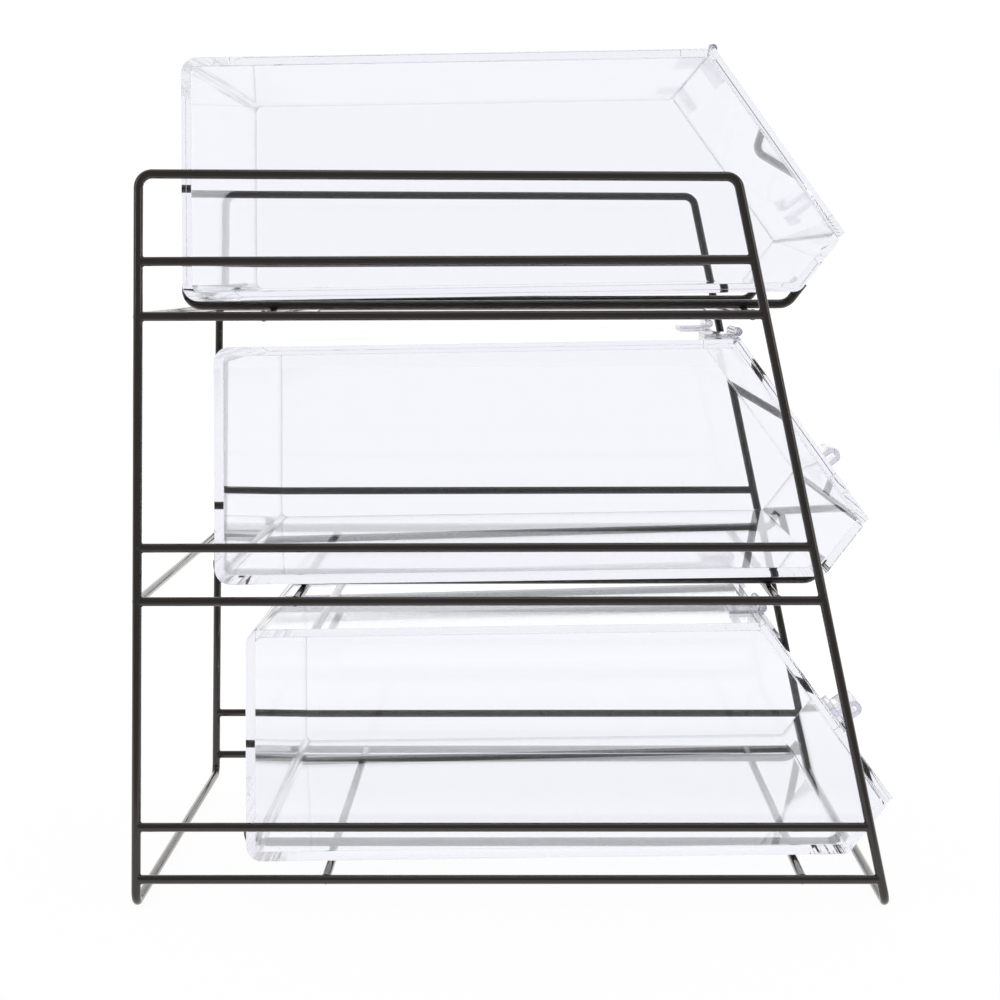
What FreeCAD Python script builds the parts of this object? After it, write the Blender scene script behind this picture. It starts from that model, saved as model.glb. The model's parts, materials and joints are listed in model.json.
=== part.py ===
import FreeCAD, Part
import math
import os
import Sketcher
from FreeCAD import Placement, Rotation, Vector

# A three-tier wire rack that holds three clear lift-out bins, each with a flip-up door.
# +X is the front, where the doors are, +Y is the rack's left side and +Z is up.
# The origin lies on the floor under the middle of the whole object.

# Driving sizes, in millimetres and degrees: alias, value, what it measures.
SIZES = [
    ("origin_from_rear", "213.26", "rear feet axis to the origin, along the depth"),
    ("frame_wire", "5.26", "diameter of the two bent frame wires"),
    ("weld_step", "0.1", "how much thinner a wire is than the wire it is welded to"),
    ("side_room", "5.1", "space between a bin's side and the frame wire beside it"),
    ("foot_ahead", "20.3", "lip corner of the bottom bin to the front feet axis"),
    ("arch_rise", "77.5", "top shelf rails to the rear of each arch's top rail"),
    ("arch_fall", "2.6", "how much lower the front of the arch's top rail is than its rear"),
    ("rear_lean", "9.5", "how far the rear post's top stands ahead of its foot"),
    ("post_ahead", "6.94", "front cross wire of the top tier to the front post"),
    ("frame_bend", "7.5", "bend radius of the frame wire, at its centre"),
    ("bottom_shelf", "16.5", "floor to the centre of the lowest shelf rails"),
    ("tier_room", "17.31", "top of a bin to the shelf rails above it"),
    ("guard_rise", "30", "shelf rail to the guard rail above it"),
    ("cross_rear", "45.7", "bin's rear lower edge to the rear cross wire"),
    ("cross_front", "26.5", "front cross wire to the lip corner ahead of it"),
    ("runner_inset", "43", "bin's side to the runner under it"),
    ("runner_bend", "9", "bend radius of a runner, at its centre"),
    ("runner_front_turn", "15", "length of a runner's turned-up front end"),
    ("runner_rear_turn", "11.5", "height of a runner's turned-up rear end"),
    ("rear_clear", "1.5", "bin's rear lower edge to the runner's turned-up rear end"),
    ("seat_gap", "0.3", "running gap between a bin and its runners, a door and its bin"),
    ("bin_setback", "61.5", "rear feet axis to the rear lower edge of the bottom bin"),
    ("bin_step", "15.3", "how far each bin stands behind the one below it"),
    ("bin_lean", "0.75", "how much the front of a bin is raised"),
    ("back_lean", "1.4", "how much a bin's back leans forward from square to its floor"),
    ("bin_width", "310", "outside width of a bin"),
    ("bin_height", "132.7", "outside height of a bin"),
    ("floor_length", "340.2", "outside length of a bin's floor, to the lip"),
    ("lip_length", "40.4", "outside length of the lip, floor to the door's lower edge"),
    ("lip_angle", "51.5", "rise of the lip from the floor"),
    ("door_angle", "55", "slope of the closed door from the floor"),
    ("sheet", "4.8", "thickness of the clear sheet"),
    ("rear_bend", "9", "outside bend radius at the bin's rear"),
    ("lip_bend", "6.5", "outside bend radius between floor and lip"),
    ("hinge_length", "45", "length of a hinge along its pin"),
    ("hinge_inset", "33", "side of the bin to the near end of a hinge"),
    ("hinge_reach", "19", "pin to the far edge of a hinge leaf"),
    ("leaf_thickness", "2", "thickness of a hinge leaf"),
    ("knuckle_radius", "2.6", "outside radius of a hinge knuckle"),
    ("knuckle_gap", "0.4", "room round and between the knuckles"),
    ("middle_knuckle", "16", "length of the door leaf's knuckle"),
    ("pin_diameter", "2.4", "diameter of a hinge pin"),
    ("pin_play", "0.08", "radial play of the pin in the door leaf"),
    ("pull_rise", "20.8", "lower edge of the door to the middle of the pull"),
    ("pull_width", "38", "length of the pull across the door"),
    ("pull_reach", "17", "how far the pull stands out from the door"),
    ("pull_strip", "3", "thickness of the bent strip of the pull"),
    ("pull_slot", "3.7", "space between the two legs of the pull"),
    ("pull_foot", "4", "length of each foot of the pull beyond its leg"),
    ("pull_round", "4.4", "outside bend radius of the pull"),
]

TIERS = ["bottom", "middle", "top"]
SIDES = {"right": -1, "left": 1}

doc = FreeCAD.newDocument("tiered_wire_basket")
sizes = doc.addObject("Spreadsheet::Sheet", "Sizes")
for row, (alias, value, note) in enumerate(SIZES, start=1):
    sizes.set(f"A{row}", note)
    sizes.set(f"B{row}", value)
    sizes.setAlias(f"B{row}", alias)
doc.recompute()

pieces = []


def measure(expression):
    return float(sizes.evalExpression(expression))


def keep(piece, label):
    piece.Label = label
    pieces.append(piece)
    return piece


# Sizes of the rack that follow from the wires and the bins.
RAIL_WIRE = "(Sizes.frame_wire - Sizes.weld_step)"
CROSS_WIRE = f"({RAIL_WIRE} - Sizes.weld_step)"
FRAME_WIDTH = "(Sizes.bin_width + 2 * Sizes.side_room + Sizes.frame_wire)"
RUNNER_SPREAD = "(Sizes.bin_width - 2 * Sizes.runner_inset)"
RUNNER_LIFT = f"(({CROSS_WIRE} + {RAIL_WIRE}) / 2)"
BIN_LIFT = f"({RUNNER_LIFT} + {RAIL_WIRE} / 2 + Sizes.seat_gap)"
TIER_PITCH = f"({BIN_LIFT} + Sizes.bin_height + Sizes.tier_room)"
FRONT_FOOT = "(Sizes.bin_setback + Sizes.floor_length + Sizes.foot_ahead - Sizes.origin_from_rear)"
TOP_TIER = len(TIERS) - 1


# Places on the rack that several pieces share.

def shelf_height(tier):
    return f"(Sizes.bottom_shelf + {tier} * {TIER_PITCH})"


def runner_height(tier):
    return f"({shelf_height(tier)} + {RUNNER_LIFT})"


def bin_floor(tier):
    return f"({shelf_height(tier)} + {BIN_LIFT})"


def bin_rear(tier):
    return f"(Sizes.bin_setback - {tier} * Sizes.bin_step - Sizes.origin_from_rear)"


def front_cross(tier):
    return f"({bin_rear(tier)} + Sizes.floor_length - Sizes.cross_front)"


ARCH_HEIGHT = f"({shelf_height(TOP_TIER)} + Sizes.arch_rise)"


def post_rise(height):
    # How far up the posts a height lies, from 0 at the feet to 1 at the top rail.
    return f"(({height} - Sizes.frame_wire / 2) / ({ARCH_HEIGHT} - Sizes.frame_wire / 2))"


def rear_post(height):
    return f"(Sizes.rear_lean * {post_rise(height)} - Sizes.origin_from_rear)"


def front_post(height):
    # The front post leans back from its foot to just ahead of the top tier's front cross wire.
    lean = f"({FRONT_FOOT} - {front_cross(TOP_TIER)} - Sizes.post_ahead)"
    return f"({FRONT_FOOT} - {lean} * {post_rise(height)} / {post_rise(shelf_height(TOP_TIER))})"


# Places on a bin, measured from its rear lower edge, along its floor and up its back.
TIP_X = "(Sizes.floor_length + Sizes.lip_length * cos(Sizes.lip_angle))"
TIP_Z = "(Sizes.lip_length * sin(Sizes.lip_angle))"
BROW_X = f"({TIP_X} - (Sizes.bin_height - {TIP_Z}) / tan(Sizes.door_angle))"
LIP_CUT = "((Sizes.sheet + Sizes.seat_gap) / sin(Sizes.lip_angle + Sizes.door_angle))"
LIP_END_X = f"({TIP_X} - {LIP_CUT} * cos(Sizes.lip_angle))"
LIP_END_Z = f"({TIP_Z} - {LIP_CUT} * sin(Sizes.lip_angle))"
LIP_SKEW = "(Sizes.sheet / sin(Sizes.lip_angle + Sizes.door_angle))"
LIP_INNER_X = f"({LIP_END_X} - {LIP_SKEW} * cos(Sizes.door_angle))"
LIP_INNER_Z = f"({LIP_END_Z} + {LIP_SKEW} * sin(Sizes.door_angle))"
LIP_ROOT_X = "(Sizes.floor_length - Sizes.sheet * tan(Sizes.lip_angle / 2))"
CEILING = "(Sizes.bin_height - Sizes.sheet)"
BACK_TOP_X = "(Sizes.bin_height * tan(Sizes.back_lean))"
BACK_SKEW = "(Sizes.sheet / cos(Sizes.back_lean))"
INNER_LOW_X = f"({BACK_SKEW} + Sizes.sheet * tan(Sizes.back_lean))"
INNER_HIGH_X = f"({BACK_SKEW} + {CEILING} * tan(Sizes.back_lean))"
TOP_END_X = f"({BROW_X} - Sizes.sheet * sin(Sizes.door_angle) - Sizes.seat_gap)"
SIDE_TOP_X = (
    f"({BROW_X} - (Sizes.sheet + Sizes.seat_gap) / sin(Sizes.door_angle)"
    " + Sizes.sheet / tan(Sizes.door_angle))"
)
PIN_RISE = "(Sizes.knuckle_radius + Sizes.knuckle_gap)"
PIN_AHEAD = f"({PIN_RISE} * tan(Sizes.door_angle / 2))"
DOOR_LENGTH = f"((Sizes.bin_height - {TIP_Z}) / sin(Sizes.door_angle))"
HINGE_MIDDLE = "(Sizes.bin_width / 2 - Sizes.hinge_inset - Sizes.hinge_length / 2)"


def on_top(along, out):
    # A point by a bin's top face, measured back from the hinge pin and up from the face.
    return f"{BROW_X} + {PIN_AHEAD} - ({along})", f"Sizes.bin_height + ({out})"


def on_door(along, out):
    # A point by the door's outer face, measured down from its upper edge and out from the face.
    x = f"{BROW_X} + ({along}) * cos(Sizes.door_angle) + ({out}) * sin(Sizes.door_angle)"
    z = f"Sizes.bin_height - ({along}) * sin(Sizes.door_angle) + ({out}) * cos(Sizes.door_angle)"
    return x, z


def below_pin(along, out):
    # A point by the door's outer face, measured down the door from the hinge pin.
    return on_door(f"({along}) - {PIN_AHEAD}", out)


# Wires of the rack.

def bent_wire(label, corners, bend, diameter):
    # One wire of round section: straight runs joined by tangent arcs.
    edges = []
    start = corners[0]
    for before, corner, after in zip(corners, corners[1:], corners[2:]):
        back = (before - corner).normalize()
        ahead = (after - corner).normalize()
        half_angle = back.getAngle(ahead) / 2
        setback = bend / math.tan(half_angle)
        crown = bend / math.sin(half_angle) - bend
        arc_start = corner + back * setback
        arc_end = corner + ahead * setback
        arc_top = corner + (back + ahead).normalize() * crown
        edges.append(Part.LineSegment(start, arc_start).toShape())
        edges.append(Part.Arc(arc_start, arc_top, arc_end).toShape())
        start = arc_end
    edges.append(Part.LineSegment(start, corners[-1]).toShape())
    section = Part.Wire(Part.Circle(corners[0], corners[1] - corners[0], diameter / 2).toShape())
    wire = doc.addObject("Part::Feature", label)
    wire.Shape = Part.Wire(edges).makePipeShell([section], True, False)
    return keep(wire, label)


def straight_wire(name, diameter, turn, length, place):
    wire = doc.addObject("Part::Cylinder", name)
    wire.setExpression("Radius", f"{diameter} / 2")
    wire.setExpression("Height", length)
    wire.Placement = Placement(Vector(), turn)
    for axis, expression in zip("xyz", place):
        wire.setExpression(f"Placement.Base.{axis}", expression)
    return wire


def cope(name, wire, against):
    # The wire's end is cut to the round of the wire that it is welded to.
    cut = doc.addObject("Part::Cut", name)
    cut.Base = wire
    cut.Tool = against
    return cut


def side_frame(side):
    # One bent half of the base loop: half of each floor bar, both posts and the top rail.
    across = SIDES[side] * measure(FRAME_WIDTH) / 2
    axis = measure("Sizes.frame_wire") / 2
    top = measure(ARCH_HEIGHT)
    front_top = f"({ARCH_HEIGHT} - Sizes.arch_fall)"
    rear_foot = measure(rear_post("Sizes.frame_wire / 2"))
    front_foot = measure(front_post("Sizes.frame_wire / 2"))
    corners = [
        Vector(rear_foot, 0, axis),
        Vector(rear_foot, across, axis),
        Vector(measure(rear_post(ARCH_HEIGHT)), across, top),
        Vector(measure(front_post(front_top)), across, measure(front_top)),
        Vector(front_foot, across, axis),
        Vector(front_foot, 0, axis),
    ]
    return bent_wire(f"{side}_frame", corners, measure("Sizes.frame_bend"), 2 * axis)


def side_rail(label, height, side, frame):
    # A rail along one side, welded between the two posts.
    length = f"{front_post(height)} - {rear_post(height)}"
    place = rear_post(height), f"{SIDES[side]} * {FRAME_WIDTH} / 2", height
    along_depth = Rotation(Vector(0, 1, 0), 90)
    wire = straight_wire(f"{label}_wire", RAIL_WIRE, along_depth, length, place)
    keep(cope(label, wire, frame), label)
    return wire


def cross_wire(label, tier, depth, welded_to):
    # A wire across the rack at the height of a tier's shelf rails.
    place = depth, f"-{FRAME_WIDTH} / 2", shelf_height(tier)
    across = Rotation(Vector(1, 0, 0), -90)
    wire = straight_wire(f"{label}_wire", CROSS_WIRE, across, FRAME_WIDTH, place)
    for number, other in enumerate(welded_to, start=1):
        wire = cope(f"{label}_cope_{number}", wire, other)
    return keep(wire, label)


def runner(tier, side):
    # A wire along the depth that carries the bin, with both ends turned up to hold it.
    across = SIDES[side] * measure(RUNNER_SPREAD) / 2
    height = measure(runner_height(tier))
    rear = measure(bin_rear(tier))
    lean = math.radians(measure("Sizes.bin_lean"))
    slope = math.radians(measure("Sizes.lip_angle")) + lean
    clear = measure(f"{RAIL_WIRE} / 2 + Sizes.seat_gap")
    rear_turn_x = rear - measure(f"{RAIL_WIRE} / 2 + Sizes.rear_clear")
    lip_x = rear + measure("Sizes.floor_length") * math.cos(lean)
    lip_z = measure(bin_floor(tier)) + measure("Sizes.floor_length") * math.sin(lean)
    touch_x = lip_x + clear * math.sin(slope)
    touch_z = lip_z - clear * math.cos(slope)
    front_turn_x = touch_x - (touch_z - height) / math.tan(slope)
    front_turn = measure("Sizes.runner_front_turn")
    corners = [
        Vector(rear_turn_x, across, height + measure("Sizes.runner_rear_turn")),
        Vector(rear_turn_x, across, height),
        Vector(front_turn_x, across, height),
        Vector(
            front_turn_x + front_turn * math.cos(slope),
            across,
            height + front_turn * math.sin(slope),
        ),
    ]
    label = f"{TIERS[tier]}_{side}_runner"
    return bent_wire(label, corners, measure("Sizes.runner_bend"), measure(RAIL_WIRE))


# Sheet pieces of the bins, drawn in side view and padded across the width.

def bin_body(label, tier):
    body = doc.addObject("PartDesign::Body", label)
    body.Placement = Placement(Vector(), Rotation(Vector(0, -1, 0), 1))
    body.setExpression("Placement.Base.x", bin_rear(tier))
    body.setExpression("Placement.Base.z", bin_floor(tier))
    body.setExpression("Placement.Rotation.Angle", "Sizes.bin_lean")
    return keep(body, label)


def side_view(body, name, across):
    # A sketch in the bin's side view, moved across the bin.
    sketch = body.newObject("Sketcher::SketchObject", f"{body.Name}_{name}")
    plane = next(item for item in body.Origin.OriginFeatures if item.Role == "XZ_Plane")
    sketch.AttachmentSupport = [(plane, "")]
    sketch.MapMode = "FlatFace"
    sketch.setExpression("AttachmentOffset.Base.z", f"-({across})")
    return sketch


def fix_point(sketch, geometry, point, x, z):
    for kind, expression in (("DistanceX", x), ("DistanceY", z)):
        number = sketch.addConstraint(Sketcher.Constraint(kind, geometry, point, measure(expression)))
        sketch.setExpression(f"Constraints[{number}]", expression)


def polygon(body, name, corners, across="0"):
    sketch = side_view(body, name, across)
    places = [Vector(measure(x), measure(z), 0) for x, z in corners]
    for start, end in zip(places, places[1:] + places[:1]):
        sketch.addGeometry(Part.LineSegment(start, end), False)
    for number, (x, z) in enumerate(corners):
        following = (number + 1) % len(corners)
        sketch.addConstraint(Sketcher.Constraint("Coincident", number, 2, following, 1))
        fix_point(sketch, number, 1, x, z)
    return sketch


def circle(body, name, centre, radius, across):
    sketch = side_view(body, name, across)
    x, z = centre
    place = Vector(measure(x), measure(z), 0)
    sketch.addGeometry(Part.Circle(place, Vector(0, 0, 1), measure(radius)), False)
    fix_point(sketch, 0, 3, x, z)
    number = sketch.addConstraint(Sketcher.Constraint("Radius", 0, measure(radius)))
    sketch.setExpression(f"Constraints[{number}]", radius)
    return sketch


def extrude(body, kind, sketch, length):
    # A pad or a pocket, the same distance to both sides of the sketch.
    feature = body.newObject(f"PartDesign::{kind}", f"{sketch.Name}_{kind.lower()}")
    feature.Profile = sketch
    feature.SideType = "Symmetric"
    feature.setExpression("Length", length)
    return feature


def round_corners(body, name, corners, radius):
    # A fillet along the edges that run across the bin at the given corners.
    doc.recompute()
    base = body.Tip
    places = [(measure(x), measure(z)) for x, z in corners]
    edges = []
    for number, edge in enumerate(base.Shape.Edges, start=1):
        first, last = edge.firstVertex().Point, edge.lastVertex().Point
        if abs(first.x - last.x) + abs(first.z - last.z) > 1e-6:
            continue
        if any(math.hypot(first.x - x, first.z - z) < 1e-4 for x, z in places):
            edges.append(f"Edge{number}")
    fillet = body.newObject("PartDesign::Fillet", f"{body.Name}_{name}")
    fillet.Base = (base, edges)
    fillet.setExpression("Radius", radius)
    return fillet


def bin_wrap(tier):
    # One bent sheet: lip, floor, back and top.
    body = bin_body(f"{TIERS[tier]}_bin_wrap", tier)
    corners = [
        (LIP_END_X, LIP_END_Z),
        (LIP_INNER_X, LIP_INNER_Z),
        (LIP_ROOT_X, "Sizes.sheet"),
        (INNER_LOW_X, "Sizes.sheet"),
        (INNER_HIGH_X, CEILING),
        (TOP_END_X, CEILING),
        (TOP_END_X, "Sizes.bin_height"),
        (BACK_TOP_X, "Sizes.bin_height"),
        ("0", "0"),
        ("Sizes.floor_length", "0"),
    ]
    extrude(body, "Pad", polygon(body, "outline", corners), "Sizes.bin_width")
    outer_rear = [("0", "0"), (BACK_TOP_X, "Sizes.bin_height")]
    inner_rear = [(INNER_LOW_X, "Sizes.sheet"), (INNER_HIGH_X, CEILING)]
    round_corners(body, "outer_rear_bends", outer_rear, "Sizes.rear_bend")
    round_corners(body, "inner_rear_bends", inner_rear, "Sizes.rear_bend - Sizes.sheet")
    round_corners(body, "outer_lip_bend", [("Sizes.floor_length", "0")], "Sizes.lip_bend")
    inner_lip = [(LIP_ROOT_X, "Sizes.sheet")]
    round_corners(body, "inner_lip_bend", inner_lip, "Sizes.lip_bend - Sizes.sheet")


def bin_side(tier, side):
    # A flat side that fits inside the wrap, flush with its edges, with a sloping front edge.
    body = bin_body(f"{TIERS[tier]}_bin_{side}_side", tier)
    corners = [
        (INNER_LOW_X, "Sizes.sheet"),
        (LIP_ROOT_X, "Sizes.sheet"),
        (LIP_INNER_X, LIP_INNER_Z),
        (SIDE_TOP_X, CEILING),
        (INNER_HIGH_X, CEILING),
    ]
    across = f"{SIDES[side]} * (Sizes.bin_width - Sizes.sheet) / 2"
    extrude(body, "Pad", polygon(body, "outline", corners, across), "Sizes.sheet")
    rear = [(INNER_LOW_X, "Sizes.sheet"), (INNER_HIGH_X, CEILING)]
    round_corners(body, "rear_corners", rear, "Sizes.rear_bend - Sizes.sheet")
    lip = [(LIP_ROOT_X, "Sizes.sheet")]
    round_corners(body, "lip_corner", lip, "Sizes.lip_bend - Sizes.sheet")


def door_panel(tier):
    # A flat door that closes over the sloping edges of the sides and the end of the lip.
    body = bin_body(f"{TIERS[tier]}_door_panel", tier)
    corners = [
        on_door("0", "0"),
        on_door("0", "-Sizes.sheet"),
        on_door(DOOR_LENGTH, "-Sizes.sheet"),
        on_door(DOOR_LENGTH, "0"),
    ]
    extrude(body, "Pad", polygon(body, "outline", corners), "Sizes.bin_width")


def hinge_leaf(label, tier, side, face, on_bin):
    # A flat leaf with its share of the knuckles: the two outer ones on the bin, one on the door.
    # The bin's leaf carries the pin, and the door's leaf turns on it.
    body = bin_body(label, tier)
    across = f"{SIDES[side]} * {HINGE_MIDDLE}"
    root = PIN_RISE
    plate = [
        face(root, "0"),
        face("Sizes.hinge_reach", "0"),
        face("Sizes.hinge_reach", "Sizes.leaf_thickness"),
        face(root, "Sizes.leaf_thickness"),
    ]
    web = [
        face("0", "Sizes.knuckle_gap"),
        face(f"{root} + Sizes.leaf_thickness / 2", "Sizes.knuckle_gap"),
        face(f"{root} + Sizes.leaf_thickness / 2", "Sizes.leaf_thickness"),
        face("0", "Sizes.leaf_thickness"),
    ]
    pin = face("0", PIN_RISE)
    knuckle_length = "Sizes.hinge_length" if on_bin else "Sizes.middle_knuckle"
    extrude(body, "Pad", polygon(body, "plate", plate, across), "Sizes.hinge_length")
    extrude(body, "Pad", polygon(body, "web", web, across), knuckle_length)
    knuckle = circle(body, "knuckle", pin, "Sizes.knuckle_radius", across)
    extrude(body, "Pad", knuckle, knuckle_length)
    if on_bin:
        gap = [
            face(f"-{PIN_RISE}", "-Sizes.knuckle_gap"),
            face(root, "-Sizes.knuckle_gap"),
            face(root, f"2 * {PIN_RISE}"),
            face(f"-{PIN_RISE}", f"2 * {PIN_RISE}"),
        ]
        gap_length = "Sizes.middle_knuckle + 2 * Sizes.knuckle_gap"
        extrude(body, "Pocket", polygon(body, "gap", gap, across), gap_length)
        rod = circle(body, "pin", pin, "Sizes.pin_diameter / 2", across)
        extrude(body, "Pad", rod, "Sizes.hinge_length")
    else:
        bore = circle(body, "bore", pin, "Sizes.pin_diameter / 2 + Sizes.pin_play", across)
        extrude(body, "Pocket", bore, "Sizes.hinge_length")


def door_pull(tier):
    # A strip bent to a narrow loop, with two feet fixed to the door.
    body = bin_body(f"{TIERS[tier]}_door_pull", tier)
    inner = "Sizes.pull_slot / 2"
    outer = "(Sizes.pull_slot / 2 + Sizes.pull_strip)"
    foot = f"({outer} + Sizes.pull_foot)"
    reach = "Sizes.pull_reach"
    strip = "Sizes.pull_strip"
    half = [(foot, "0"), (foot, strip), (outer, strip), (outer, reach)]
    slot = [(inner, f"{reach} - {strip}"), (inner, "0")]
    middle = f"{DOOR_LENGTH} - Sizes.pull_rise"
    lower = [on_door(f"{middle} + {along}", out) for along, out in half]
    upper = [on_door(f"{middle} - {along}", out) for along, out in reversed(half)]
    upper_slot = [on_door(f"{middle} - {along}", out) for along, out in reversed(slot)]
    lower_slot = [on_door(f"{middle} + {along}", out) for along, out in slot]
    outline = polygon(body, "outline", lower + upper + upper_slot + lower_slot)
    extrude(body, "Pad", outline, "Sizes.pull_width")
    round_corners(body, "outer_bend", [lower[3], upper[0]], "Sizes.pull_round")
    inner_bend = "Sizes.pull_slot / 2 - Sizes.seat_gap"
    round_corners(body, "inner_bend", [upper_slot[1], lower_slot[0]], inner_bend)


frames = {side: side_frame(side) for side in SIDES}
for tier, name in enumerate(TIERS):
    shelf_rails = {}
    for side, frame in frames.items():
        shelf = shelf_height(tier)
        shelf_rails[side] = side_rail(f"{name}_{side}_shelf_rail", shelf, side, frame)
        side_rail(f"{name}_{side}_guard_rail", f"({shelf} + Sizes.guard_rise)", side, frame)
    rails = list(shelf_rails.values())
    cross_wire(f"{name}_rear_cross_wire", tier, f"{bin_rear(tier)} + Sizes.cross_rear", rails)
    cross_wire(f"{name}_front_cross_wire", tier, front_cross(tier), rails)
    if tier > 0:
        # Above the floor bar, a tie joins the rear posts.
        posts = list(frames.values())
        cross_wire(f"{name}_rear_tie", tier, rear_post(shelf_height(tier)), posts + rails)
    bin_wrap(tier)
    door_panel(tier)
    door_pull(tier)
    for side in SIDES:
        runner(tier, side)
        bin_side(tier, side)
        hinge_leaf(f"{name}_bin_{side}_hinge_leaf", tier, side, on_top, True)
        hinge_leaf(f"{name}_door_{side}_hinge_leaf", tier, side, below_pin, False)

doc.recompute()
for item in doc.Objects:
    if "Invalid" in item.State or "Error" in item.State:
        raise RuntimeError(f"{item.Label} did not build: {item.State}")
for piece in pieces:
    if piece.Shape.isNull() or not piece.Shape.isValid() or len(piece.Shape.Solids) != 1:
        raise RuntimeError(f"{piece.Label} is not one sound solid")

os.makedirs("parts", exist_ok=True)
for piece in pieces:
    piece.Shape.exportStep(os.path.join("parts", f"{piece.Label}.step"))

box = FreeCAD.BoundBox()
for piece in pieces:
    box.add(piece.Shape.optimalBoundingBox(False))
print(f"{len(pieces)} pieces, {box.XLength:.1f} x {box.YLength:.1f} x {box.ZLength:.1f} mm, "
      f"from x {box.XMin:.2f} to {box.XMax:.2f} and z {box.ZMin:.2f}")
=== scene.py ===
import json
import math
import bpy
from mathutils import Matrix, Vector

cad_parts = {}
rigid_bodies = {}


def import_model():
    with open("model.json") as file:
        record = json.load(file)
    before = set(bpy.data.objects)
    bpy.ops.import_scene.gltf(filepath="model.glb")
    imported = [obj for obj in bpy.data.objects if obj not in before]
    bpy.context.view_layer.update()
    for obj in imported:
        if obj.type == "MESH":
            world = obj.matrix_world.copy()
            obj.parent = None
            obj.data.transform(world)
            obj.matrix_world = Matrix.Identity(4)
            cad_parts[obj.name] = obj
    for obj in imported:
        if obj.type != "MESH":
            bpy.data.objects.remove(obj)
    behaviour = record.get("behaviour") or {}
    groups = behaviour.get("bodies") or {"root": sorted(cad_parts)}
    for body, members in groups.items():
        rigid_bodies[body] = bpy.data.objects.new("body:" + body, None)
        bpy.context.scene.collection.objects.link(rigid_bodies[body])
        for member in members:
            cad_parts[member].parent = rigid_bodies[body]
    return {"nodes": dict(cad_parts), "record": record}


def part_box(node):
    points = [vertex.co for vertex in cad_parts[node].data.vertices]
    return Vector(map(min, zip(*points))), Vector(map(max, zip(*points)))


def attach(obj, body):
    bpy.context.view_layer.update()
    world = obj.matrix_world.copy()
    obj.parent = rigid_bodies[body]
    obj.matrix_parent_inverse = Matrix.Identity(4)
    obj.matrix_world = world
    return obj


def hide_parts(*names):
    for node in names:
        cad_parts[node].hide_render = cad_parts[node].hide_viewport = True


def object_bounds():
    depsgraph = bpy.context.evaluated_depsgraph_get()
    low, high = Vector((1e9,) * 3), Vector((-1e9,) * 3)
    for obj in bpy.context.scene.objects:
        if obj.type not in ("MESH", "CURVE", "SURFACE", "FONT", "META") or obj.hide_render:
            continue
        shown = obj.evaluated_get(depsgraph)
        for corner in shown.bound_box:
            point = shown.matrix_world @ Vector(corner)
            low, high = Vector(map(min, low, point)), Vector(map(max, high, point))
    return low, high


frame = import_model()
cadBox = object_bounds()
scene = bpy.context.scene
tiers = ["bottom", "middle", "top"]
sides = ["right", "left"]


# small helpers for selecting and editing

def pick(*pieces):
    if bpy.context.object and bpy.context.object.mode != "OBJECT":
        bpy.ops.object.mode_set(mode="OBJECT")
    bpy.ops.object.select_all(action="DESELECT")
    for piece in pieces:
        piece.select_set(True)
    bpy.context.view_layer.objects.active = pieces[0]


def useModifier(piece, kind, **settings):
    pick(piece)
    bpy.ops.object.modifier_add(type=kind)
    modifier = piece.modifiers[-1]
    for name, value in settings.items():
        setattr(modifier, name, value)
    bpy.ops.object.modifier_apply(modifier=modifier.name)


def cleanMesh(piece, mergeGap=2e-6, flatAngle=0.6):
    pick(piece)
    bpy.ops.object.mode_set(mode="EDIT")
    bpy.ops.mesh.select_all(action="SELECT")
    bpy.ops.mesh.remove_doubles(threshold=mergeGap)
    bpy.ops.mesh.dissolve_limited(angle_limit=math.radians(flatAngle))
    bpy.ops.object.mode_set(mode="OBJECT")


def copyNode(node, name):
    pick(frame["nodes"][node])
    bpy.ops.object.duplicate()
    piece = bpy.context.object
    bpy.ops.object.parent_clear(type="CLEAR_KEEP_TRANSFORM")
    bpy.ops.mesh.customdata_custom_splitnormals_clear()
    for key in [key for key in piece.keys() if key.startswith("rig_")]:
        del piece[key]
    piece.name = name
    piece.data.name = name
    cleanMesh(piece)
    return piece


def softenEdges(piece, width, segments=2, angle=35):
    useModifier(
        piece, "BEVEL", width=width, segments=segments, limit_method="ANGLE",
        angle_limit=math.radians(angle), use_clamp_overlap=True,
    )
    bpy.ops.object.shade_smooth()
    useModifier(piece, "WEIGHTED_NORMAL", mode="FACE_AREA", weight=100, keep_sharp=False)


def chooseFaces(piece, test):
    pick(piece)
    bpy.ops.object.mode_set(mode="EDIT")
    bpy.ops.mesh.select_mode(type="FACE")
    bpy.ops.mesh.select_all(action="DESELECT")
    bpy.ops.object.mode_set(mode="OBJECT")
    for face in piece.data.polygons:
        face.select = test(face.normal, face.center)
    bpy.ops.object.mode_set(mode="EDIT")


def markWorked(piece, test):
    # faces that were bent or cemented carry a mark that their material reads
    mark = piece.data.attributes.new("worked", "FLOAT", "FACE")
    for face in piece.data.polygons:
        mark.data[face.index].value = float(test(face.normal, face.center))


def giveMaterial(piece, material):
    piece.data.materials.clear()
    piece.data.materials.append(material)


# shader node helpers

def grey(shade):
    return (shade, shade, shade, 1.0)


def feed(tree, node, **inputs):
    # each input takes a link from another node's output, or a plain value
    for name, value in inputs.items():
        socket = node.inputs[name.replace("_", " ")]
        if isinstance(value, bpy.types.NodeSocket):
            tree.links.new(value, socket)
        else:
            socket.default_value = value


def addNode(tree, kind, at, **inputs):
    node = tree.nodes.new(kind)
    node.location = at
    feed(tree, node, **inputs)
    return node


def addMath(tree, operation, at, *values, clamp=False):
    node = addNode(tree, "ShaderNodeMath", at)
    node.operation = operation
    node.use_clamp = clamp
    for socket, value in zip(node.inputs, values):
        if isinstance(value, bpy.types.NodeSocket):
            tree.links.new(value, socket)
        else:
            socket.default_value = value
    return node.outputs[0]


def addRange(tree, at, value, low, high, **inputs):
    node = addNode(tree, "ShaderNodeMapRange", at, Value=value, From_Min=low, From_Max=high, **inputs)
    return node.outputs["Result"]


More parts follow.
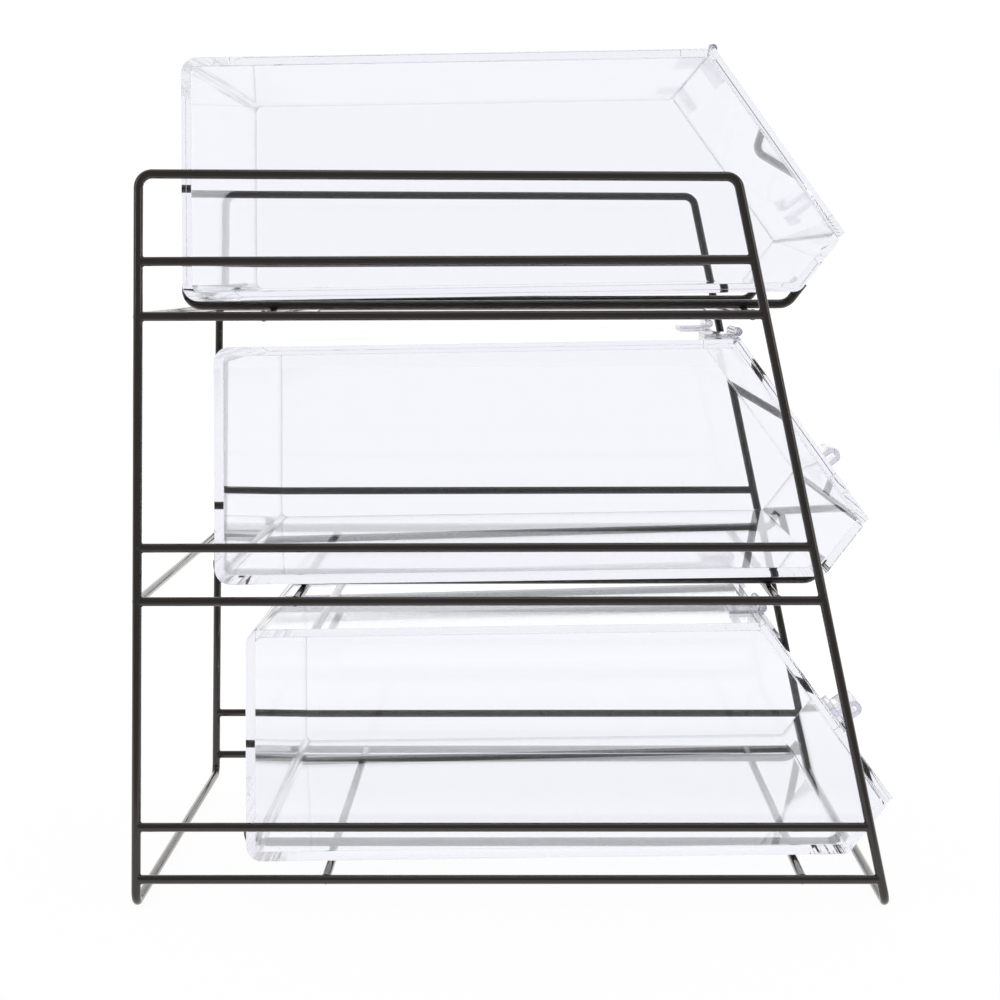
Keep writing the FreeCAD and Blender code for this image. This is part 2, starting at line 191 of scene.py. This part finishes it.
def newMaterial(name):
    material = bpy.data.materials.new(name)
    material.use_nodes = True
    tree = material.node_tree
    tree.nodes.clear()
    surface = addNode(tree, "ShaderNodeBsdfPrincipled", (0, 0))
    addNode(tree, "ShaderNodeOutputMaterial", (320, 0), Surface=surface.outputs["BSDF"])
    return material, tree, surface


def newGroup(name, inputs, outputs):
    tree = bpy.data.node_groups.new(name, "ShaderNodeTree")
    for label in inputs:
        tree.interface.new_socket(label, in_out="INPUT", socket_type="NodeSocketFloat")
    for label in outputs:
        tree.interface.new_socket(label, in_out="OUTPUT", socket_type="NodeSocketFloat")
    entry = addNode(tree, "NodeGroupInput", (-1100, 0))
    leave = addNode(tree, "NodeGroupOutput", (700, 0))
    return tree, entry.outputs, leave


def placeGroup(tree, group, at, **inputs):
    node = tree.nodes.new("ShaderNodeGroup")
    node.node_tree = group
    node.location = at
    feed(tree, node, **inputs)
    return node


# powder coat: fine orange peel, patches of gloss and a little dust

powderDetail = {"patchScale": 38.0, "gritScale": 900.0, "gritShare": 0.35, "noiseMiddle": 0.5}


def makePowderGroup(detail):
    tree, entry, leave = newGroup("powderCoat", ["Peel", "Dull", "Vary"], ["Shade", "Roughness", "Height"])
    place = addNode(tree, "ShaderNodeTexCoord", (-900, 300)).outputs["Object"]
    peel = addNode(
        tree, "ShaderNodeTexNoise", (-600, 300), Vector=place, Scale=entry["Peel"], Detail=3.0, Roughness=0.55,
    )
    patch = addNode(
        tree, "ShaderNodeTexNoise", (-600, 0), Vector=place, Scale=detail["patchScale"], Detail=4.0,
        Roughness=0.6,
    )
    grit = addNode(
        tree, "ShaderNodeTexVoronoi", (-600, -300), Vector=place, Scale=detail["gritScale"], Randomness=1.0,
    )
    spread = addMath(tree, "SUBTRACT", (-350, 0), patch.outputs["Fac"], detail["noiseMiddle"])
    rough = addMath(tree, "MULTIPLY_ADD", (-150, 0), spread, entry["Vary"], entry["Dull"])
    grain = addMath(
        tree, "MULTIPLY_ADD", (-150, -300), grit.outputs["Distance"], detail["gritShare"], peel.outputs["Fac"],
    )
    feed(tree, leave, Shade=patch.outputs["Fac"], Roughness=rough, Height=grain)
    return tree


# clear sheet: hairline scuffs, faint haze, a slow waviness, and streaks or grain where it was worked

sheetDetail = {
    "smearScale": 22.0, "smearTwist": 1.2, "smearRange": (0.45, 0.75),
    "hairScale": 6.0, "hairStretch": (9.0, 9.0, 160.0), "hairTurn": (0.5, 0.9, 0.2), "hairRange": (0.66, 0.74),
    "stripeStretch": (420.0, 7.0, 420.0), "stripeRange": (0.4, 0.62),
}


def makeSheetGroup(detail):
    tree, entry, leave = newGroup(
        "castSheet", ["Dull", "Haze", "Scuff", "Wave", "Streak", "Grain", "Worked"], ["Roughness", "Height"],
    )
    place = addNode(tree, "ShaderNodeTexCoord", (-1100, 300)).outputs["Object"]
    wave = addNode(tree, "ShaderNodeTexNoise", (-600, 300), Vector=place, Scale=entry["Wave"], Detail=1.0)
    smear = addNode(
        tree, "ShaderNodeTexNoise", (-600, 0), Vector=place, Scale=detail["smearScale"], Detail=5.0,
        Roughness=0.6, Distortion=detail["smearTwist"],
    )
    stretch = addNode(
        tree, "ShaderNodeMapping", (-780, -300), Vector=place, Scale=detail["hairStretch"],
        Rotation=detail["hairTurn"],
    )
    hair = addNode(
        tree, "ShaderNodeTexNoise", (-600, -300), Vector=stretch.outputs["Vector"], Scale=detail["hairScale"],
        Detail=2.0, Roughness=0.5,
    )
    draw = addNode(tree, "ShaderNodeMapping", (-780, -600), Vector=place, Scale=detail["stripeStretch"])
    drawn = addNode(
        tree, "ShaderNodeTexNoise", (-600, -600), Vector=draw.outputs["Vector"], Scale=1.0, Detail=2.0,
        Roughness=0.5,
    )
    lines = addRange(tree, (-380, -300), hair.outputs["Fac"], *detail["hairRange"])
    patches = addRange(tree, (-380, 0), smear.outputs["Fac"], *detail["smearRange"])
    stripes = addRange(tree, (-380, -600), drawn.outputs["Fac"], *detail["stripeRange"])
    scuffed = addMath(tree, "MULTIPLY", (-150, -150), lines, patches)
    hazed = addMath(tree, "MULTIPLY_ADD", (50, 0), patches, entry["Haze"], entry["Dull"])
    rough = addMath(tree, "MULTIPLY_ADD", (250, -100), scuffed, entry["Scuff"], hazed)
    streaked = addMath(tree, "MULTIPLY", (-150, -600), stripes, entry["Streak"])
    grained = addMath(tree, "MULTIPLY_ADD", (50, -450), patches, entry["Grain"], streaked)
    worked = addMath(tree, "MULTIPLY_ADD", (450, -200), grained, entry["Worked"], rough)
    feed(tree, leave, Roughness=worked, Height=wave.outputs["Fac"])
    return tree


powderGroup = makePowderGroup(powderDetail)
sheetGroup = makeSheetGroup(sheetDetail)


def makeBlackCoat(name, look):
    material, tree, surface = newMaterial(name)
    coat = placeGroup(tree, powderGroup, (-700, 0), Peel=look["peel"], Dull=look["dull"], Vary=look["vary"])
    tone = addNode(tree, "ShaderNodeValToRGB", (-400, 200), Fac=coat.outputs["Shade"])
    tone.color_ramp.elements[0].color = (*look["dark"], 1.0)
    tone.color_ramp.elements[1].color = (*look["light"], 1.0)
    bump = addNode(
        tree, "ShaderNodeBump", (-300, -250), Strength=look["bump"], Distance=look["depth"],
        Height=coat.outputs["Height"],
    )
    feed(
        tree, surface, Base_Color=tone.outputs["Color"], Roughness=coat.outputs["Roughness"],
        Normal=bump.outputs["Normal"], Specular_IOR_Level=look["shine"], Specular_Tint=(*look["warmth"], 1.0),
        Coat_Weight=look["gloss"], Coat_Roughness=look["glossDull"], Coat_Tint=(*look["glossTint"], 1.0),
    )
    return material


acrylicIor = 1.49


def makeClear(name, look):
    material, tree, surface = newMaterial(name)
    mark = addNode(tree, "ShaderNodeAttribute", (-850, 0))
    mark.attribute_name = "worked"
    sheet = placeGroup(
        tree, sheetGroup, (-600, 0), Dull=look["dull"], Haze=look["haze"], Scuff=look["scuff"],
        Wave=look["wave"], Streak=look["streak"], Grain=look["grain"], Worked=mark.outputs["Fac"],
    )
    bump = addNode(
        tree, "ShaderNodeBump", (-300, -250), Strength=look["bump"], Distance=look["depth"],
        Height=sheet.outputs["Height"],
    )
    feed(
        tree, surface, Base_Color=(*look["tint"], 1.0), Transmission_Weight=1.0, IOR=acrylicIor,
        Roughness=sheet.outputs["Roughness"], Normal=bump.outputs["Normal"],
    )
    inside = addNode(
        tree, "ShaderNodeVolumeAbsorption", (0, -450), Color=(*look["inside"], 1.0), Density=look["density"],
    )
    feed(tree, tree.nodes["Material Output"], Volume=inside.outputs["Volume"])
    return material


wireLook = {
    "dark": (0.02, 0.0175, 0.016), "light": (0.029, 0.026, 0.024), "peel": 1500.0,
    "dull": 0.3, "vary": 0.12, "bump": 0.12, "depth": 0.0001, "shine": 0.12, "warmth": (1.0, 0.9, 0.86),
    "gloss": 1.0, "glossDull": 0.07, "glossTint": (1.0, 0.94, 0.9),
}
sheetLook = {
    "tint": (0.968, 0.972, 0.996), "inside": (0.9, 0.895, 0.93), "density": 3.8,
    "dull": 0.0, "haze": 0.006, "scuff": 0.06, "wave": 9.0, "bump": 0.03, "depth": 0.0004,
    "streak": 0.24, "grain": 0.0,
}
pullLook = {
    "tint": (0.96, 0.957, 0.985), "inside": (0.87, 0.86, 0.9), "density": 75.0,
    "dull": 0.03, "haze": 0.05, "scuff": 0.1, "wave": 90.0, "bump": 0.15, "depth": 0.0003,
    "streak": 0.1, "grain": 0.35,
}
hingeLook = {
    "tint": (0.93, 0.93, 0.955), "inside": (0.85, 0.845, 0.88), "density": 40.0,
    "dull": 0.03, "haze": 0.08, "scuff": 0.1, "wave": 260.0, "bump": 0.35, "depth": 0.0001,
    "streak": 0.1, "grain": 0.45,
}
blackCoat = makeBlackCoat("blackPowderCoat", wireLook)
clearSheet = makeClear("clearSheet", sheetLook)
clearPull = makeClear("clearPull", pullLook)
clearHinge = makeClear("clearHinge", hingeLook)
print("materials ready")


# camera at the photograph's viewing angle

cameraLook = {
    "place": (0.00719, -1.380308, 0.356176), "pitch": 5.873, "yaw": -0.68, "roll": -0.183,
    "lens": 79.8, "sensor": 36, "nearest": 0.05,
}


def placeCamera(look):
    pitch, yaw, roll = (math.radians(look[name]) for name in ("pitch", "yaw", "roll"))
    ahead = Vector((math.sin(yaw) * math.cos(pitch), math.cos(yaw) * math.cos(pitch), -math.sin(pitch)))
    level = Vector((math.cos(yaw), -math.sin(yaw), 0))
    rise = level.cross(ahead)
    right = level * math.cos(roll) + rise * math.sin(roll)
    up = rise * math.cos(roll) - level * math.sin(roll)
    bpy.ops.object.camera_add()
    camera = bpy.context.object
    camera.name = "photoCamera"
    camera.matrix_world = Matrix((
        (right.x, up.x, -ahead.x, look["place"][0]),
        (right.y, up.y, -ahead.y, look["place"][1]),
        (right.z, up.z, -ahead.z, look["place"][2]),
        (0, 0, 0, 1),
    ))
    camera.data.lens = look["lens"]
    camera.data.sensor_width = look["sensor"]
    camera.data.sensor_fit = "HORIZONTAL"
    camera.data.clip_start = look["nearest"]
    scene.camera = camera


placeCamera(cameraLook)


# white glowing table with a painted pool of light behind the rack, a white room and soft boxes
# the table's glow in front of the rack is dimmed as painted shade that shows in reflections only, and the dark
# wall facing the rack shows in reflections only

tableLook = {
    "size": 14.0, "drop": 0.0004, "white": 0.04, "dull": 0.9, "glow": 0.97,
    "paintedPoolGlow": 1.07, "patchStart": 0.1, "patchHalf": 0.7, "patchFade": 0.4,
    "reflectedShadeGlow": 0.24, "reflectedShadeEdge": -0.3, "reflectedShadeFade": 0.15,
}
roomLook = {"facing": 0.24, "beside": 0.8, "behind": 1.08, "wallStops": (0.2, 0.62, 0.88)}
boxAim = (0.0, 0.0, 0.25)
boxLooks = {
    "topBox": {"place": (0.1, -0.5, 1.9), "size": (0.9, 0.9), "power": 2.4},
    "sideBox": {"place": (-1.7, -1.1, 0.9), "size": (0.12, 1.2), "power": 4.0},
    "frontBox": {"place": (1.8, -0.9, 0.8), "size": (0.12, 1.2), "power": 4.0},
}


def buildTable(look):
    bpy.ops.object.select_all(action="DESELECT")
    bpy.ops.mesh.primitive_plane_add(size=look["size"], location=(0, 0, -look["drop"]))
    floor = bpy.context.object
    floor.name = "litTable"
    bpy.ops.object.transform_apply(location=True, rotation=False, scale=False)
    material, tree, surface = newMaterial("litTableTop")
    place = addNode(tree, "ShaderNodeTexCoord", (-1100, 0))
    split = addNode(tree, "ShaderNodeSeparateXYZ", (-900, 0), Vector=place.outputs["Object"])
    across = addMath(tree, "ABSOLUTE", (-900, 350), split.outputs["X"])
    # painted pool of light: the table glows brighter in a patch behind the rack
    patchSide = look["patchHalf"] + look["patchFade"]
    patchFull = look["patchStart"] + look["patchFade"]
    wide = addRange(tree, (-700, 400), across, patchSide, look["patchHalf"])
    deep = addRange(tree, (-700, 150), split.outputs["Y"], look["patchStart"], patchFull)
    patch = addMath(tree, "MULTIPLY", (-500, 300), wide, deep)
    lit = addRange(tree, (-450, 100), patch, 0.0, 1.0, To_Min=look["glow"], To_Max=look["paintedPoolGlow"])
    # painted shade: the table's glow in front of the rack is dimmed where it is seen in reflections
    reflectedShadeFull = look["reflectedShadeEdge"] - look["reflectedShadeFade"]
    reflectedShade = addRange(tree, (-700, -150), split.outputs["Y"], look["reflectedShadeEdge"], reflectedShadeFull)
    path = addNode(tree, "ShaderNodeLightPath", (-700, -450))
    shown = addMath(tree, "MULTIPLY", (-450, -300), reflectedShade, path.outputs["Glossy Depth"], clamp=True)
    glow = addNode(tree, "ShaderNodeMix", (-250, 0), Factor=shown, A=lit, B=look["reflectedShadeGlow"])
    feed(
        tree, surface, Base_Color=grey(look["white"]), Roughness=look["dull"], Specular_IOR_Level=0.0,
        Emission_Color=grey(1.0), Emission_Strength=glow.outputs["Result"],
    )
    giveMaterial(floor, material)


def addWalls(tree, at, turn, look, shades):
    walls = addNode(tree, "ShaderNodeValToRGB", at, Fac=turn)
    walls.color_ramp.elements.new(look["wallStops"][1])
    for stop, position, shade in zip(walls.color_ramp.elements, look["wallStops"], shades):
        stop.position = position
        stop.color = grey(look[shade])
    return walls.outputs["Color"]


def buildRoom(look):
    world = bpy.data.worlds.new("studioRoom")
    scene.world = world
    world.use_nodes = True
    tree = world.node_tree
    tree.nodes.clear()
    place = addNode(tree, "ShaderNodeTexCoord", (-900, 0))
    split = addNode(tree, "ShaderNodeSeparateXYZ", (-700, 0), Vector=place.outputs["Generated"])
    turn = addRange(tree, (-500, 0), split.outputs["Y"], -1.0, 1.0)
    mirrored = addWalls(tree, (-250, 200), turn, look, ("facing", "beside", "behind"))
    through = addWalls(tree, (-250, -100), turn, look, ("behind", "beside", "behind"))
    path = addNode(tree, "ShaderNodeLightPath", (-300, -400)).outputs
    direct = addMath(tree, "ADD", (-50, -300), path["Is Camera Ray"], path["Is Transmission Ray"])
    bounced = addMath(tree, "ADD", (-50, -500), path["Glossy Depth"], path["Diffuse Depth"])
    straight = addMath(tree, "SUBTRACT", (100, -400), direct, bounced, clamp=True)
    past = addNode(tree, "ShaderNodeMix", (250, 0), Factor=straight, A=mirrored, B=through)
    seen = addNode(
        tree, "ShaderNodeMix", (450, 0), Factor=path["Is Camera Ray"], A=past.outputs["Result"],
        B=look["behind"],
    )
    sky = addNode(tree, "ShaderNodeBackground", (650, 0), Color=grey(1.0), Strength=seen.outputs["Result"])
    addNode(tree, "ShaderNodeOutputWorld", (850, 0), Surface=sky.outputs["Background"])


def buildBoxes(looks):
    for name, look in looks.items():
        bpy.ops.object.light_add(type="AREA", location=look["place"])
        box = bpy.context.object
        box.name = name
        box.data.shape = "RECTANGLE"
        box.data.size, box.data.size_y = look["size"]
        box.data.energy = look["power"]
        towards = Vector(boxAim) - Vector(look["place"])
        box.rotation_euler = towards.to_track_quat("-Z", "Y").to_euler()


buildTable(tableLook)
buildRoom(roomLook)
buildBoxes(boxLooks)
bounceLimit = 96  # light passes many faces of clear sheet
scene.view_settings.view_transform = "Standard"
scene.view_settings.look = "None"
scene.cycles.max_bounces = bounceLimit
scene.cycles.transmission_bounces = bounceLimit
scene.cycles.glossy_bounces = bounceLimit
scene.cycles.caustics_refractive = True
scene.cycles.caustics_reflective = True
print("stage and camera ready")


# wires keep their CAD shape and get the powder coat

for node in frame["record"]["behaviour"]["bodies"]["rack"]:
    giveMaterial(frame["nodes"][node], blackCoat)
print("wires coated")


# weld beads where the wires meet

weldLook = {
    "post": 0.00263, "rail": 0.00258, "cross": 0.00253, "bead": 0.0005, "frontLean": 12.1, "rearLean": -1.3,
    "lump": 0.00025, "lumpSize": 0.0016, "drop": (0.0021, 0.0021, 0.0009),
    "ringSteps": (28, 8), "dropSteps": (20, 12),
}
lumps = bpy.data.textures.new("weldLumps", "CLOUDS")
lumps.noise_scale = weldLook["lumpSize"]


def roughen(bead):
    useModifier(
        bead, "DISPLACE", texture=lumps, texture_coords="LOCAL", strength=weldLook["lump"], mid_level=0.5,
    )
    bpy.ops.object.shade_smooth()


def newSaddle(name, inner, outer, lean):
    # a ring round a wire's end, bent to the round of the wire that it meets
    around, across = weldLook["ringSteps"]
    bpy.ops.object.select_all(action="DESELECT")
    bpy.ops.mesh.primitive_torus_add(
        major_segments=around, minor_segments=across, major_radius=inner, minor_radius=weldLook["bead"],
        rotation=(0, math.radians(90), 0),
    )
    ring = bpy.context.object
    ring.name = name
    bpy.ops.object.transform_apply()
    tilt = math.tan(math.radians(lean))
    for point in ring.data.vertices:
        sideways = inner * point.co.y / math.hypot(point.co.y, point.co.z)
        point.co.x += math.sqrt(outer ** 2 - sideways ** 2) + tilt * point.co.z
    roughen(ring)
    return ring


def newDrop(name):
    # a flattened drop between two wires that cross
    around, rings = weldLook["dropSteps"]
    bpy.ops.object.select_all(action="DESELECT")
    bpy.ops.mesh.primitive_uv_sphere_add(segments=around, ring_count=rings, radius=1)
    drop = bpy.context.object
    drop.name = name
    bpy.ops.transform.resize(value=weldLook["drop"])
    bpy.ops.object.transform_apply()
    roughen(drop)
    return drop


def placeCopy(model, at, turn, roll=0.0):
    pick(model)
    bpy.ops.object.duplicate()
    bead = bpy.context.object
    spin = Matrix.Rotation(math.radians(turn), 4, "Z") @ Matrix.Rotation(math.radians(roll), 4, "X")
    bead.matrix_world = Matrix.Translation(at) @ spin
    bpy.ops.object.transform_apply()
    return bead


def joinWelds(name, beads):
    pick(*beads)
    bpy.ops.object.join()
    welds = bpy.context.object
    welds.name = name
    welds.data.name = name
    for point in welds.data.vertices:  # ground flush with the outside of the posts
        point.co.y = min(max(point.co.y, cadBox[0][1]), cadBox[1][1])
    giveMaterial(welds, blackCoat)
    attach(welds, "rack")
    print(name, len(beads), "beads")


def middleOf(node):
    low, high = (Vector(corner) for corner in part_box(node))
    return low, high, (low + high) / 2


def insetOf(outer, inner):
    # how far a coped wire's end lies from the axis of the wire that it meets
    return math.sqrt(outer ** 2 - inner ** 2)


def buildWelds(look):
    inset = insetOf(look["post"], look["rail"])
    crossInset = insetOf(look["rail"], look["cross"])
    tieInset = insetOf(look["post"], look["cross"])
    rearRing = newSaddle("rearRing", look["rail"], look["post"], look["rearLean"])
    frontRing = newSaddle("frontRing", look["rail"], look["post"], look["frontLean"])
    crossRing = newSaddle("crossRing", look["cross"], look["rail"], 0)
    tieRing = newSaddle("tieRing", look["cross"], look["post"], 0)
    drop = newDrop("drop")
    railBeads = []
    crossBeads = []
    runnerBeads = []
    for tier in tiers:
        for side in sides:
            for kind in ("shelf", "guard"):
                low, high, middle = middleOf(f"{tier}_{side}_{kind}_rail")
                railBeads.append(placeCopy(rearRing, (low.x - inset, middle.y, middle.z), 0))
                railBeads.append(placeCopy(frontRing, (high.x + inset, middle.y, middle.z), 180))
        for end in ("rear", "front"):
            low, high, middle = middleOf(f"{tier}_{end}_cross_wire")
            crossBeads.append(placeCopy(crossRing, (middle.x, low.y - crossInset, middle.z), 90, 90))
            crossBeads.append(placeCopy(crossRing, (middle.x, high.y + crossInset, middle.z), -90, 90))
            for side in sides:
                runner = middleOf(f"{tier}_{side}_runner")[2]
                runnerBeads.append(placeCopy(drop, (middle.x, runner.y, high.z), 0))
        if tier != "bottom":
            low, high, middle = middleOf(f"{tier}_rear_tie")
            crossBeads.append(placeCopy(tieRing, (middle.x, low.y - tieInset, middle.z), 90))
            crossBeads.append(placeCopy(tieRing, (middle.x, high.y + tieInset, middle.z), -90))
    for model in (rearRing, frontRing, crossRing, tieRing, drop):
        bpy.data.objects.remove(model)
    joinWelds("railWelds", railBeads)
    joinWelds("crossWelds", crossBeads)
    joinWelds("runnerWelds", runnerBeads)


buildWelds(weldLook)


# clear bins: wrap and sides cemented into one shell

binLook = {
    "lean": 0.75, "doorSlope": 55.0, "edge": 0.0004, "doorEdge": 0.0005, "hingeEdge": 0.0002,
    "pullEdge": 0.0004, "bendZone": 0.013, "bendTurn": 0.08, "sideways": 0.1, "cementGap": 0.00005,
    "seatFacing": -0.99,
}
lean = math.radians(binLook["lean"])
slope = math.radians(binLook["doorSlope"]) - lean
ahead = Vector((math.cos(lean), 0, math.sin(lean)))
upwards = Vector((-math.sin(lean), 0, math.cos(lean)))
outOfDoor = Vector((math.sin(slope), 0, math.cos(slope)))


def cementFace(piece, out):
    # the face that sits on a sheet is drawn back by the cement's thickness and made grainy
    facing = binLook["seatFacing"]
    flat = [face.center.dot(out) for face in piece.data.polygons if face.normal.dot(out) < facing]
    seat = min(flat) + binLook["pullEdge"]

    def isSeat(normal, centre):
        return normal.dot(out) < facing and centre.dot(out) < seat

    markWorked(piece, isSeat)
    chooseFaces(piece, isSeat)
    bpy.ops.transform.translate(value=out * binLook["cementGap"])
    bpy.ops.object.mode_set(mode="OBJECT")


def buildBin(tier):
    shell = copyNode(f"{tier}_bin_wrap", f"{tier}BinShell")
    for side in sides:
        panel = copyNode(f"{tier}_bin_{side}_side", "sidePanel")
        useModifier(shell, "BOOLEAN", operation="UNION", solver="EXACT", object=panel)
        bpy.data.objects.remove(panel)
    cleanMesh(shell)
    softenEdges(shell, binLook["edge"])
    giveMaterial(shell, clearSheet)
    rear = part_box(f"{tier}_bin_wrap")[0][0] + binLook["bendZone"]

    def isBend(normal, centre):
        turned = min(abs(normal.dot(ahead)), abs(normal.dot(upwards)))
        return centre.x < rear and abs(normal.y) < binLook["sideways"] and turned > binLook["bendTurn"]

    markWorked(shell, isBend)
    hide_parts(f"{tier}_bin_wrap", f"{tier}_bin_right_side", f"{tier}_bin_left_side")
    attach(shell, f"{tier}_bin")

    door = copyNode(f"{tier}_door_panel", f"{tier}DoorPanel")
    softenEdges(door, binLook["doorEdge"])
    giveMaterial(door, clearSheet)
    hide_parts(f"{tier}_door_panel")
    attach(door, f"{tier}_door")

    pull = copyNode(f"{tier}_door_pull", f"{tier}DoorPull")
    softenEdges(pull, binLook["pullEdge"])
    giveMaterial(pull, clearPull)
    cementFace(pull, outOfDoor)
    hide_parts(f"{tier}_door_pull")
    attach(pull, f"{tier}_door")

    for side in sides:
        for owner, out in (("bin", upwards), ("door", outOfDoor)):
            leafName = f"{tier}{owner.title()}{side.title()}Hinge"
            leaf = copyNode(f"{tier}_{owner}_{side}_hinge_leaf", leafName)
            softenEdges(leaf, binLook["hingeEdge"])
            giveMaterial(leaf, clearHinge)
            cementFace(leaf, out)
            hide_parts(f"{tier}_{owner}_{side}_hinge_leaf")
            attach(leaf, f"{tier}_{owner}")
    print(tier, "bin shell", len(shell.data.polygons), "faces")


for tier in tiers:
    buildBin(tier)
